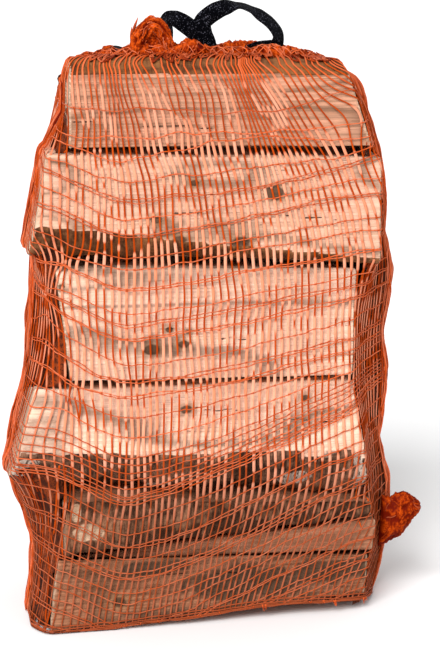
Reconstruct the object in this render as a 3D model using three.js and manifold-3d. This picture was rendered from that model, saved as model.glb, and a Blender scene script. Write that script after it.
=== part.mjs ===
// Firewood bundle: thirteen split birch logs stacked crosswise in two layers, standing in an orange
// net bag whose mouth is gathered by a black woven drawstring. Millimetres, +Z up, front towards -Y.
import * as THREE from 'three';
import { mergeVertices } from 'three/addons/utils/BufferGeometryUtils.js';
import Module from 'manifold-3d';

// Driving dimensions
const netThickness = 1;
const netClearance = 4; // from the outermost wood to the net
const seamStandOff = { left: 5, right: 14 }; // how far the sewn side edges stand out past the log ends
const seamDepth = -15; // where the side edges run, front to back
const netBridge = 0.75; // how taut the net spans the hollows between logs: 0 slack, 1 straight
const netLevels = 20; // heights at which the net's outline is taken
const netDirections = 32; // sides of each outline
const netReach = 32; // an outline wraps the wood this far above and below its height
const shoulderHeight = 509; // where the net leaves the sides and closes over the top log
const mouth = { x: 12, y: -7, halfLength: 104, radius: 15, bottom: 511, top: 519 };
const gather = { x: -51, y: -24, z: 521, radii: [16, 8, 17], tilt: 0 }; // bunch where the hem is tied in
const ear = { x: 175, y: -41, z: 83, radii: [20, 9, 24], tilt: 0.35 }; // loose corner of the bag
const ribbonWidth = 16;
const ribbonThickness = 1.6;
const ribbonSteps = 78;
const logSteps = 4; // spans along a log
const barkSteps = 6; // spans round a bark face
const splitSteps = 2; // spans round a split face

const materials = {
  splitWood: new THREE.MeshStandardMaterial({ color: '#e0ab86', roughness: 0.8, metalness: 0 }),
  paleWood: new THREE.MeshStandardMaterial({ color: '#eac3a2', roughness: 0.8, metalness: 0 }),
  barkWood: new THREE.MeshStandardMaterial({ color: '#94664a', roughness: 0.9, metalness: 0 }),
  net: new THREE.MeshStandardMaterial({ color: '#e85a20', roughness: 0.45, metalness: 0 }),
  ribbon: new THREE.MeshStandardMaterial({ color: '#111118', roughness: 0.6, metalness: 0 }),
};

// Each log has the same corners at its left and right ends, as [depth, height] in turn from the
// front bottom edge, round the back, to the front top edge. bark gives the swell of the faces that
// still carry bark, slant how far the two saw cuts lean along the log per unit of height, and bow
// how far the log's middle is crooked in depth and height.
const logs = [
  {
    name: 'log_front_1', material: 'splitWood', x: [-128, 125],
    left: [[-81, 431], [-19, 436], [-13, 492], [-77, 495]],
    right: [[-83, 428], [-17, 433], [-11, 487], [-79, 492]],
    bark: { 2: 13 }, slant: [0.03, -0.33], bow: [0, 0.8],
  },
  {
    name: 'log_front_2', material: 'paleWood', x: [-157, 145],
    left: [[-87, 369], [-59, 338], [-11, 342], [-5, 430], [-79, 427]],
    right: [[-85, 330], [-57, 326], [-11, 330], [-5, 424], [-81, 420]],
    bark: { 0: 4 }, slant: [0.2, 0], bow: [-1, -0.8],
  },
  {
    name: 'log_front_3', material: 'paleWood', x: [-136, 124],
    left: [[-81, 226], [-17, 223], [-13, 324], [-79, 329]],
    right: [[-79, 224], [-15, 222], [-11, 315], [-77, 321]],
    bark: { 1: 4 }, slant: [-0.12, 0.03], bow: [-1, 0],
  },
  {
    name: 'log_front_4', material: 'paleWood', x: [-175, 130],
    left: [[-90, 170], [-55, 138], [-9, 141], [-7, 216], [-73, 221]],
    right: [[-88, 162], [-57, 112], [-9, 118], [-7, 217], [-75, 220]],
    bark: { 0: 7 }, slant: [0.3, -0.16], bow: [0, -1],
  },
  {
    name: 'log_front_5', material: 'barkWood', x: [-139, 142],
    left: [[-81, 70], [-13, 62], [-11, 127], [-77, 119]],
    right: [[-79, 92], [-11, 88], [-9, 110], [-77, 107]],
    bark: { 3: 3 }, slant: [0, 0], bow: [-1, 0],
  },
  {
    name: 'log_front_6', material: 'splitWood', x: [-123, 145],
    left: [[-63, 60], [-17, 45], [-15, 57], [-62, 63]],
    right: [[-75, 58], [-11, 50], [-11, 82], [-77, 88]],
    bark: {}, slant: [0, 0.05], bow: [0, 0],
  },
  {
    name: 'log_front_7', material: 'barkWood', x: [-150, 139],
    left: [[-91, 2], [-15, 3], [-13, 40], [-83, 66]],
    right: [[-74, 15], [-7, 3], [-7, 44], [-77, 56]],
    bark: { 1: 3 }, slant: [0.12, 0.05], bow: [0, 0],
  },
  {
    name: 'log_back_1', material: 'barkWood', x: [-121, 129],
    left: [[5, 410], [83, 420], [65, 478], [3, 470]],
    right: [[3, 405], [85, 416], [69, 474], [-1, 468]],
    bark: { 1: 6 }, slant: [-0.08, 0.1], bow: [0, -1],
  },
  {
    name: 'log_back_2', material: 'paleWood', x: [-145, 139],
    left: [[2, 331], [85, 338], [81, 414], [3, 404]],
    right: [[5, 323], [86, 333], [79, 410], [1, 399]],
    bark: { 1: 5 }, slant: [0.1, -0.05], bow: [1, 0],
  },
  {
    name: 'log_back_3', material: 'splitWood', x: [-131, 143],
    left: [[3, 250], [85, 262], [73, 334], [-1, 326]],
    right: [[-1, 238], [84, 250], [77, 328], [3, 318]],
    bark: { 1: 6 }, slant: [0.05, 0.12], bow: [0, 0],
  },
  {
    name: 'log_back_4', material: 'barkWood', x: [-151, 133],
    left: [[5, 167], [83, 177], [79, 257], [1, 245]],
    right: [[1, 159], [85, 169], [77, 245], [5, 233]],
    bark: { 1: 7 }, slant: [-0.1, -0.06], bow: [0, 1],
  },
  {
    name: 'log_back_5', material: 'paleWood', x: [-137, 141],
    left: [[-1, 88], [85, 85], [81, 172], [5, 161]],
    right: [[5, 83], [86, 81], [79, 164], [1, 154]],
    bark: { 1: 5 }, slant: [0.08, 0.1], bow: [1, 0],
  },
  {
    name: 'log_back_6', material: 'splitWood', x: [-145, 135],
    left: [[-5, 3], [83, 3], [81, 78], [-1, 82]],
    right: [[1, 3], [81, 3], [79, 74], [1, 77]],
    bark: { 1: 5 }, slant: [0.06, -0.08], bow: [0, 0],
  },
];

const lerp = THREE.MathUtils.lerp;

// The outline of a log at a share t of its length, as [depth, height] points.
function logOutline(log, t) {
  const rise = 4 * t * (1 - t);
  const corners = log.left.map(([y, z], i) => [
    lerp(y, log.right[i][0], t) + log.bow[0] * rise,
    lerp(z, log.right[i][1], t) + log.bow[1] * rise,
  ]);
  const outline = [];
  corners.forEach(([y, z], side) => {
    const [nextY, nextZ] = corners[(side + 1) % corners.length];
    const swell = log.bark[side] ?? 0;
    const steps = swell ? barkSteps : splitSteps;
    const length = Math.hypot(nextY - y, nextZ - z);
    for (let step = 0; step < steps; step++) {
      const u = step / steps;
      const out = (swell * 4 * u * (1 - u)) / length;
      outline.push([
        lerp(y, nextY, u) + out * (nextZ - z),
        lerp(z, nextZ, u) - out * (nextY - y),
      ]);
    }
  });
  return outline;
}

// A closed skin over rings of equal length, with flat ends. Rings run anticlockwise seen from the
// side that the last ring faces.
function closedLoft(rings) {
  const count = rings[0].length;
  const positions = rings.flat().flatMap((point) => [point.x, point.y, point.z]);
  const index = [];
  for (let ring = 0; ring < rings.length - 1; ring++) {
    for (let i = 0; i < count; i++) {
      const a = ring * count + i;
      const b = ring * count + ((i + 1) % count);
      index.push(a, b, b + count, a, b + count, a + count);
    }
  }
  const last = (rings.length - 1) * count;
  for (let i = 1; i < count - 1; i++) {
    index.push(0, i + 1, i);
    index.push(last, last + i, last + i + 1);
  }
  const geometry = new THREE.BufferGeometry();
  geometry.setAttribute('position', new THREE.Float32BufferAttribute(positions, 3));
  geometry.setIndex(index);
  geometry.computeVertexNormals();
  return geometry;
}

function logGeometry(log) {
  const rings = [];
  const middle = log.left.reduce((sum, [, z]) => sum + z, 0) / log.left.length;
  for (let step = 0; step <= logSteps; step++) {
    const t = step / logSteps;
    rings.push(logOutline(log, t).map(([y, z]) => {
      const start = log.x[0] + log.slant[0] * (z - middle);
      const end = log.x[1] + log.slant[1] * (z - middle);
      return new THREE.Vector3(lerp(start, end, t), y, z);
    }));
  }
  return closedLoft(rings);
}

// The net wraps the wood like a tight skin, so its outline at each height is the outer envelope of
// the log points near that height, moved out by a clearance. support is how far the envelope
// reaches in each direction.
const directions = Array.from({ length: netDirections }, (_, i) => {
  const angle = (2 * Math.PI * i) / netDirections;
  return new THREE.Vector2(Math.cos(angle), Math.sin(angle));
});

function woodSupport(points, height) {
  const near = points.filter((point) => Math.abs(point.z - height) <= netReach);
  const left = Math.min(...near.map((point) => point.x)) - seamStandOff.left;
  const right = Math.max(...near.map((point) => point.x)) + seamStandOff.right;
  const wrapped = [...near, { x: left, y: seamDepth }, { x: right, y: seamDepth }];
  return directions.map(
    (n) => Math.max(...wrapped.map((point) => point.x * n.x + point.y * n.y)) + netClearance,
  );
}

// Taut between the logs that stand out: each hollow in the outline's height profile is drawn most of
// the way to the straight line across it.
function drawTaut(heights, supports) {
  return supports.map((support, k) => support.map((reach, i) => {
    let straight = reach;
    for (let below = 0; below <= k; below++) {
      for (let above = k + 1; above < heights.length; above++) {
        const t = (heights[k] - heights[below]) / (heights[above] - heights[below]);
        straight = Math.max(straight, lerp(supports[below][i], supports[above][i], t));
      }
    }
    return lerp(reach, straight, netBridge);
  }));
}

function mouthSupport() {
  return directions.map(
    (n) => mouth.x * n.x + mouth.y * n.y + Math.abs(mouth.halfLength * n.x) + mouth.radius,
  );
}

// The corners where neighbouring support lines cross, at one height.
function supportRing(support, inset, height) {
  return directions.map((n, i) => {
    const next = directions[(i + 1) % netDirections];
    const h = support[i] - inset;
    const nextH = support[(i + 1) % netDirections] - inset;
    const det = n.x * next.y - n.y * next.x;
    const x = (h * next.y - nextH * n.y) / det;
    const y = (n.x * nextH - next.x * h) / det;
    return new THREE.Vector3(x, y, height);
  });
}

const wasm = await Module();
wasm.setup();

function toManifold(geometry) {
  const bare = geometry.clone();
  bare.deleteAttribute('normal');
  bare.deleteAttribute('uv');
  const merged = mergeVertices(bare, 1e-4);
  return new wasm.Manifold(new wasm.Mesh({
    numProp: 3,
    vertProperties: Float32Array.from(merged.attributes.position.array),
    triVerts: Uint32Array.from(merged.index.array),
  }));
}

function fromManifold(manifold) {
  const mesh = manifold.getMesh();
  const geometry = new THREE.BufferGeometry();
  geometry.setAttribute('position', new THREE.Float32BufferAttribute(mesh.vertProperties, 3));
  geometry.setIndex([...mesh.triVerts]);
  geometry.computeVertexNormals();
  return geometry;
}

function lumpGeometry(lump) {
  const geometry = new THREE.SphereGeometry(1, 14, 9);
  geometry.scale(...lump.radii);
  geometry.rotateY(lump.tilt);
  geometry.translate(lump.x, lump.y, lump.z);
  return geometry;
}

// One net bag with an open mouth: the outer shape with its loose corner and the gathered hem, less
// the room inside.
function netGeometry(points) {
  const footInset = 2.5;
  const footHeight = 6;
  const heights = [0];
  for (let level = 0; level < netLevels; level++) {
    heights.push(lerp(footHeight, shoulderHeight, level / (netLevels - 1)));
  }
  const supports = drawTaut(heights, heights.map((height) => woodSupport(points, height)));
  const mouthLine = mouthSupport();
  const outer = heights.map((height, k) => supportRing(supports[k], k ? 0 : footInset, height));
  outer.push(supportRing(mouthLine, 0, mouth.bottom));
  outer.push(supportRing(mouthLine, 0, mouth.top));

  const inner = heights.map((height, k) => {
    const lift = k === 0 ? netThickness : 0;
    const drop = k === heights.length - 1 ? netThickness : 0;
    return supportRing(supports[k], netThickness + (k ? 0 : footInset), height + lift - drop);
  });
  inner.push(supportRing(mouthLine, netThickness, mouth.bottom - netThickness));
  inner.push(supportRing(mouthLine, netThickness, mouth.top + netThickness));

  const skin = toManifold(closedLoft(outer))
    .add(toManifold(lumpGeometry(ear)))
    .add(toManifold(lumpGeometry(gather)));
  return fromManifold(skin.subtract(toManifold(closedLoft(inner))));
}

// The drawstring's route, through the middle of the ribbon: along the hem from the left, up and over
// in a small loop, down into the gathered mouth, up again in the large carrying loop, and back in.
const ribbonRoute = [
  [-93, -7, 506], [-81, -7, 508], [-67, -6, 508], [-51, -5, 509], [-40, -5, 514], [-36, -6, 525],
  [-35, -8, 535], [-30, -9, 542], [-22, -10, 542], [-14, -10, 534], [-7, -10, 524],
  [-2, -9, 513], [2, -8, 507], [7, -8, 507], [8, -8, 515], [4, -9, 526], [6, -10, 536],
  [16, -10, 545], [32, -10, 549], [48, -10, 545], [59, -11, 535], [65, -11, 523], [60, -10, 514],
  [47, -9, 510], [33, -8, 507],
];

function ribbonGeometry() {
  const half = ribbonWidth / 2;
  const flat = ribbonThickness / 2;
  const edge = flat * 0.6;
  const section = new THREE.Shape([
    [-half, -edge], [-half + edge, -flat], [half - edge, -flat], [half, -edge],
    [half, edge], [half - edge, flat], [-half + edge, flat], [-half, edge],
  ].map(([x, y]) => new THREE.Vector2(x, y)));
  const route = new THREE.CatmullRomCurve3(ribbonRoute.map((point) => new THREE.Vector3(...point)));
  return new THREE.ExtrudeGeometry(section, { steps: ribbonSteps, extrudePath: route });
}

function named(name, geometry, material) {
  const mesh = new THREE.Mesh(geometry, material);
  mesh.name = name;
  return mesh;
}

const stack = new THREE.Group();
for (const log of logs) {
  stack.add(named(log.name, logGeometry(log), materials[log.material]));
}

const woodPoints = stack.children.flatMap((mesh) => {
  const position = mesh.geometry.attributes.position;
  const points = [];
  for (let i = 0; i < position.count; i += 1) {
    points.push(new THREE.Vector3().fromBufferAttribute(position, i));
  }
  return points;
});
const netBag = named('net_bag', netGeometry(woodPoints), materials.net);
stack.add(netBag);

// The bag's box is centred over the origin and stands on it.
const box = new THREE.Box3().setFromObject(netBag);
stack.position.set(-(box.min.x + box.max.x) / 2, -(box.min.y + box.max.y) / 2, -box.min.z);

const bundle = new THREE.Group();
bundle.add(stack, named('drawstring', ribbonGeometry(), materials.ribbon));

export default bundle;
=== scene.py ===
import math

import bpy
import numpy as np
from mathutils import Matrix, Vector
from mathutils.bvhtree import BVHTree


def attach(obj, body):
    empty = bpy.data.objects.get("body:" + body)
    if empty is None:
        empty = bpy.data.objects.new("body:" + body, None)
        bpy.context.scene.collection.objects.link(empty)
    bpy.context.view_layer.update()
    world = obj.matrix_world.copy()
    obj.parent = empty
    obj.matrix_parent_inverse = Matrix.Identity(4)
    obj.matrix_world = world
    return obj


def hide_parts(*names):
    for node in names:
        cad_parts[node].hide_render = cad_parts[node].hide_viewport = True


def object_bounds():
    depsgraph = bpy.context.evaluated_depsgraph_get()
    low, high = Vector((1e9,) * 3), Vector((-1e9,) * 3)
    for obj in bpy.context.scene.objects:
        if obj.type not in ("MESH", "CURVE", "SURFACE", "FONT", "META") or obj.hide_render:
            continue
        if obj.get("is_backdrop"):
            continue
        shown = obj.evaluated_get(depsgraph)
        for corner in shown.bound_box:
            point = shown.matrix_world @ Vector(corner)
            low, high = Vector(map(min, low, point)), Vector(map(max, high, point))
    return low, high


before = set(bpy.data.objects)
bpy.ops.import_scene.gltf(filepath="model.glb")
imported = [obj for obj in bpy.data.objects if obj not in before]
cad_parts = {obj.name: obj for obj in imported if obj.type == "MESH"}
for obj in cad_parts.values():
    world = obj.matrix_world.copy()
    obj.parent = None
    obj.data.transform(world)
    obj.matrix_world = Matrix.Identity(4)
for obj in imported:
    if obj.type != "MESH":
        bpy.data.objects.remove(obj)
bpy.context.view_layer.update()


# ---------------------------------------------------------------------------------------------
# Camera. It stands a step back from the bundle, a little to its left and above its middle, with a
# long lens, so that the front faces of the logs stay nearly square to the view.

view_azimuth = math.radians(-9)
view_elevation = math.radians(12)
view_distance = 1.76
view_target = Vector((0.0053, 0.0034, 0.250))

back = Vector((
    math.sin(view_azimuth) * math.cos(view_elevation),
    -math.cos(view_azimuth) * math.cos(view_elevation),
    math.sin(view_elevation),
))
bpy.ops.object.camera_add(location=view_target + back * view_distance)
camera = bpy.context.object
camera.name = "camera"
camera.rotation_mode = "QUATERNION"
camera.rotation_quaternion = (-back).to_track_quat("-Z", "Y")
camera.data.lens = 104
camera.data.sensor_width = 36
camera.data.shift_x = 0.0167
camera.data.shift_y = 0.0053
bpy.context.scene.camera = camera


# ---------------------------------------------------------------------------------------------
# Drawstring. A flat woven polypropylene ribbon, black, 16 mm wide. It lies in the hem from the
# left, comes out beside the gathered bunch in a small loop, dips into the mouth and comes out
# again as the large loop that the bundle is carried by.

ribbon_width = 0.016
ribbon_thickness = 0.0013
ribbon_rings = 200
ribbon_route = np.array([
    [-93, -7, 508], [-80, -8, 512], [-65, -7, 509], [-50, -5, 509], [-38, -4, 511], [-34, -4, 519],
    [-34, -5, 528], [-35, -6, 535], [-32, -8, 539], [-27, -10, 538], [-17, -11, 532],
    [-7, -10, 523], [-4, -9, 514], [-3, -8, 508], [0, -8, 507], [2, -9, 514], [-2, -10, 525],
    [-3, -11, 534], [4, -11, 541], [16, -9, 547], [30, -8, 549], [40, -8, 546], [50, -9, 540],
    [60, -9, 532], [66, -9, 522], [63, -8, 513], [49, -6, 512], [37, -5, 509],
]) / 1000
# How far the ribbon's flat side is turned towards the front at each point of the route, in degrees.
ribbon_turn = np.radians([
    0, 12, 0, 0, 10, 28, 32, 32, 36, 60, 84, 90, 85, 75, 75, 88, 88, 88, 86, 55, 16,
    20, 38, 40, 44, 58, 42, 35,
])


def along_route(points, extra, count):
    """Points at even distances on the smooth curve through some points, and extra values there."""
    padded = np.vstack([2 * points[0] - points[1], points, 2 * points[-1] - points[-2]])
    knots = np.concatenate([[0], np.cumsum(np.linalg.norm(np.diff(padded, axis=0), axis=1) ** 0.5)])
    fine, values = [], []
    for i in range(1, len(padded) - 2):
        t = np.linspace(knots[i], knots[i + 1], 60, endpoint=False)[:, None]
        t0, t1, t2, t3 = knots[i - 1:i + 3]
        p0, p1, p2, p3 = padded[i - 1:i + 3]
        a1 = ((t1 - t) * p0 + (t - t0) * p1) / (t1 - t0)
        a2 = ((t2 - t) * p1 + (t - t1) * p2) / (t2 - t1)
        a3 = ((t3 - t) * p2 + (t - t2) * p3) / (t3 - t2)
        b1 = ((t2 - t) * a1 + (t - t0) * a2) / (t2 - t0)
        b2 = ((t3 - t) * a2 + (t - t1) * a3) / (t3 - t1)
        fine.append(((t2 - t) * b1 + (t - t1) * b2) / (t2 - t1))
        share = (t[:, 0] - t1) / (t2 - t1)
        values.append(extra[i - 1] + share * share * (3 - 2 * share) * (extra[i] - extra[i - 1]))
    fine = np.vstack([*fine, points[-1:]])
    values = np.append(np.concatenate(values), extra[-1])
    length = np.concatenate([[0], np.cumsum(np.linalg.norm(np.diff(fine, axis=0), axis=1))])
    even = np.linspace(0, length[-1], count)
    line = np.stack([np.interp(even, length, fine[:, axis]) for axis in range(3)], axis=1)
    return line, np.interp(even, length, values), length[-1]


def unit(vectors):
    return vectors / np.maximum(np.linalg.norm(vectors, axis=-1, keepdims=True), 1e-12)


def carry(mesh, values):
    """Gives a mesh a number of each name at each of its points, for its finish to read."""
    for key, value in values.items():
        mesh.attributes.new(key, "FLOAT", "POINT").data.foreach_set(
            "value", np.asarray(value, np.float32))


def place_piece(name, mesh, finish):
    """A new piece in the scene, with its finish."""
    mesh.materials.append(finish)
    piece = bpy.data.objects.new(name, mesh)
    bpy.context.scene.collection.objects.link(piece)
    return piece


def strands_mesh(name, strands, finish):
    """One mesh of many strands, each a closed flat tube along its own line of points."""
    corners, faces, carried, start = [], [], {}, 0
    for strand in strands:
        line, across = strand["line"], strand["across"]
        count = len(line)
        run = unit(np.gradient(line, axis=0))
        across = unit(across - run * np.sum(across * run, axis=1, keepdims=True))
        rise = np.cross(run, across) * np.broadcast_to(strand["thick"], count)[:, None] / 2
        side = across * np.broadcast_to(strand["width"], count)[:, None] / 2
        corners.append(np.stack([line - side - rise, line + side - rise,
                                 line + side + rise, line - side + rise], axis=1).reshape(-1, 3))
        first = start + np.arange(count - 1)[:, None] * 4
        c = np.arange(4)
        quads = np.stack([first + c, first + (c + 1) % 4, first + (c + 1) % 4 + 4,
                          first + c + 4], axis=-1).reshape(-1, 4)
        last = start + (count - 1) * 4
        faces += [quads, [[start + 3, start + 2, start + 1, start],
                          [last, last + 1, last + 2, last + 3]]]
        for key in strands[0]["values"]:
            value = strand["values"].get(key, 0)
            carried.setdefault(key, []).append(np.repeat(np.broadcast_to(value, count), 4))
        start += count * 4
    faces = np.concatenate(faces).astype(np.int32)
    mesh = bpy.data.meshes.new(name)
    mesh.vertices.add(start)
    mesh.vertices.foreach_set("co", np.concatenate(corners).astype(np.float32).ravel())
    mesh.loops.add(faces.size)
    mesh.loops.foreach_set("vertex_index", faces.ravel())
    mesh.polygons.add(len(faces))
    mesh.polygons.foreach_set("loop_start", np.arange(0, faces.size, 4, dtype=np.int32))
    mesh.update(calc_edges=True)
    carry(mesh, {key: np.concatenate(value) for key, value in carried.items()})
    return place_piece(name, mesh, finish)


class Wire:
    """One output in a material's nodes, so that shader maths is written as an expression."""

    def __init__(self, finish, socket):
        self.finish = finish
        self.socket = socket

    def maths(self, operation, *values):
        return self.finish.node("ShaderNodeMath", dict(enumerate(values)), operation=operation)

    def __add__(self, other):
        return self.maths("ADD", self, other)

    def __radd__(self, other):
        return self.maths("ADD", other, self)

    def __sub__(self, other):
        return self.maths("SUBTRACT", self, other)

    def __rsub__(self, other):
        return self.maths("SUBTRACT", other, self)

    def __mul__(self, other):
        return self.maths("MULTIPLY", self, other)

    def __rmul__(self, other):
        return self.maths("MULTIPLY", other, self)

    def step(self, low, high):
        """0 below low, 1 above high, and smooth between them."""
        return self.finish.node("ShaderNodeMapRange", {0: self, 1: low, 2: high},
                                interpolation_type="SMOOTHSTEP")


class Finish:
    """A material under construction."""

    def __init__(self, name):
        self.material = bpy.data.materials.new(name)
        self.material.use_nodes = True
        self.tree = self.material.node_tree
        self.tree.nodes.clear()

    def node(self, kind, sockets=None, output=0, stops=None, **settings):
        node = self.tree.nodes.new(kind)
        for key, value in settings.items():
            setattr(node, key, value)
        if stops:
            ramp = node.color_ramp
            while len(ramp.elements) < len(stops):
                ramp.elements.new(1)
            for element, (place, colour) in zip(ramp.elements, stops):
                element.position = place
                element.color = (*colour, 1)
        for key, value in (sockets or {}).items():
            if isinstance(value, Wire):
                self.tree.links.new(value.socket, node.inputs[key])
            else:
                node.inputs[key].default_value = value
        return None if output is None else Wire(self, node.outputs[output])

    def blend(self, share, first, second, blend_type="MIX"):
        """A colour between two others."""
        def colour(value):
            return value if isinstance(value, Wire) else (*value, 1)
        return self.node("ShaderNodeMix", {0: share, 6: colour(first), 7: colour(second)}, output=2,
                         data_type="RGBA", blend_type=blend_type, clamp_factor=True)

    def stretched(self, scale, place=(0, 0, 0)):
        """The piece's own coordinates, scaled along its axes to repeats per metre."""
        here = self.node("ShaderNodeTexCoord", output="Object")
        return self.node("ShaderNodeMapping", {"Vector": here, "Location": place, "Scale": scale})

    def noise(self, vector, detail=3, roughness=0.5):
        return self.node("ShaderNodeTexNoise", {"Vector": vector, "Scale": 1, "Detail": detail,
                                                "Roughness": roughness})

    def value(self, attribute):
        """A number that the mesh carries at each of its points."""
        return self.node("ShaderNodeAttribute", output="Fac", attribute_name=attribute)

    def surface(self, sockets, height=None, height_scale=0.001):
        """Ends the material in a Principled surface, with bumps of a height in height_scale metres."""
        if height is not None:
            sockets["Normal"] = self.node("ShaderNodeBump", {"Height": height, "Strength": 1,
                                                             "Distance": height_scale})
        shader = self.node("ShaderNodeBsdfPrincipled", sockets)
        self.node("ShaderNodeOutputMaterial", {"Surface": shader}, output=None)
        return self.material


def ribbon_finish():
    """Black plain weave with a low shine: fine ribs across, and painted glints of light on its picks.
    """
    finish = Finish("black_ribbon_weave")
    here = finish.node("ShaderNodeUVMap")
    ribs = finish.node("ShaderNodeTexWave", {"Vector": here, "Scale": 1, "Distortion": 0.6,
                                             "Detail": 1},
                       wave_type="BANDS", bands_direction="Y")
    cords = finish.node("ShaderNodeTexWave", {"Vector": here, "Scale": 1, "Distortion": 0.4},
                        wave_type="BANDS", bands_direction="X")
    # Painted glints: small bluish-white highlights are mixed into the black where the weave stands up.
    painted_glints = finish.noise(finish.stretched((900, 900, 900)), detail=2).step(0.60, 0.68)
    weave = ribs * 0.5 + cords * 0.5
    colour = finish.blend(painted_glints * weave, (0.0015, 0.0015, 0.0035), (0.36, 0.36, 0.46))
    return finish.surface({"Base Color": colour, "Roughness": 0.6, "Specular IOR Level": 0.04},
                          height=weave, height_scale=0.0005)


ribbon_line, ribbon_angle, ribbon_length = along_route(ribbon_route, ribbon_turn, ribbon_rings)
ribbon_run = unit(np.gradient(ribbon_line, axis=0))
sideways = np.array([0.0, 1.0, 0.0])
flat_side = unit(sideways - ribbon_run * (ribbon_run @ sideways)[:, None])
turned_side = np.cross(ribbon_run, flat_side)
ribbon_across = (flat_side * np.cos(ribbon_angle)[:, None]
                 + turned_side * np.sin(ribbon_angle)[:, None])
drawstring = strands_mesh("drawstring_ribbon", [dict(
    line=ribbon_line, across=ribbon_across, width=ribbon_width, thick=ribbon_thickness,
    values={})], ribbon_finish())
ribbon_uv = drawstring.data.uv_layers.new(name="weave")
along_mm = np.repeat(np.linspace(0, ribbon_length, ribbon_rings) * 1000, 4)
across_mm = np.tile(np.array([-0.5, 0.5, 0.5, -0.5]) * ribbon_width * 1000, ribbon_rings)
loop_points = np.zeros(len(drawstring.data.loops), np.int32)
drawstring.data.loops.foreach_get("vertex_index", loop_points)
ribbon_uv.data.foreach_set("uv", np.stack([across_mm, along_mm], axis=1)[loop_points].ravel())
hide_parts("drawstring")
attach(drawstring, "root")


# ---------------------------------------------------------------------------------------------
# Logs. Thirteen lengths of birch, sawn across and split along the grain. Split faces are pale and
# fibrous, a curved face on most logs still has its bark, and the ends are sawn flat. Each is the
# solid's shape with the cleft surface, the bark and the saw cut raised on it.

grain_size = 0.0024


def smooth_noise(points, seed):
    """Noise from -1 to 1 at each point, one cell to a unit."""
    cell = np.floor(points).astype(np.int64)
    part = points - cell
    part = part * part * (3 - 2 * part)
    total = np.zeros(len(points))
    for corner in np.ndindex(2, 2, 2):
        x, y, z = (cell + corner).T
        mixed = (x * 73856093) ^ (y * 19349663) ^ (z * 83492791) ^ (seed * 2654435761)
        mixed = ((mixed & 0xFFFFFFFF) * 1274126177) & 0xFFFFFFFF
        mixed = ((mixed ^ (mixed >> 15)) * 2246822519) & 0xFFFFFFFF
        share = np.prod(np.where(corner, part, 1 - part), axis=1)
        total += share * ((mixed ^ (mixed >> 13)) & 0xFFFF) / 32767.5
    return total - 1


def ridged(points, seed):
    return 1 - 2 * np.abs(smooth_noise(points, seed))


def ease(value, low, high):
    share = np.clip((value - low) / (high - low), 0, 1)
    return share * share * (3 - 2 * share)
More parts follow.
